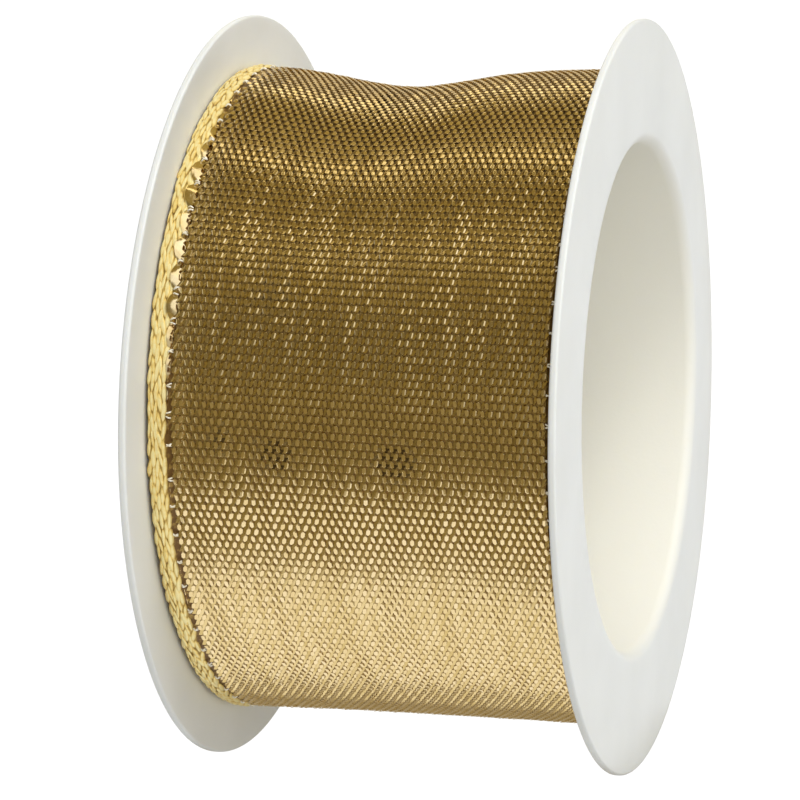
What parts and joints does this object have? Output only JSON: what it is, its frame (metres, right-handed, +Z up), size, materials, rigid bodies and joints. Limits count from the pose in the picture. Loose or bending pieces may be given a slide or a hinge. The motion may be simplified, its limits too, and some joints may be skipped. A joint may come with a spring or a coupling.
{
  "type": "ribbon spool",
  "caption": "Large-bore plastic spool with two thin round flanges, wound with wide wire-edged metallic woven ribbon.",
  "frame": {"origin": "on the ground under the middle of the spool, which stands on its rims", "axes": "+X along the spool's axis from the left flange to the right flange, +Y to the back, +Z up"},
  "size_m": [0.0434, 0.078, 0.0779],
  "materials": {
    "flange_plastic": "milky white injection moulding, satin",
    "core_plastic": "off-white extruded tube, dull",
    "gold_web": "plain-woven metallic cloth, glittering",
    "gold_hem": "braided metallic yarn over a wire",
    "gold_foil": "flat mirror-bright foil yarn",
    "edge_wire": "fine soft iron wire",
    "clear_tape": "clear adhesive film"
  },
  "bodies": {
    "root": {"left_flange": "flange_plastic", "right_flange": "flange_plastic", "core_tube": "core_plastic", "ribbon_web": "gold_web", "left_hem": "gold_hem", "right_hem": "gold_hem", "left_foil_yarn": "gold_foil", "right_foil_yarn": "gold_foil", "left_edge_wire": "edge_wire", "right_edge_wire": "edge_wire", "start_tape": "clear_tape", "end_tape": "clear_tape"}
  },
  "joints": []
}
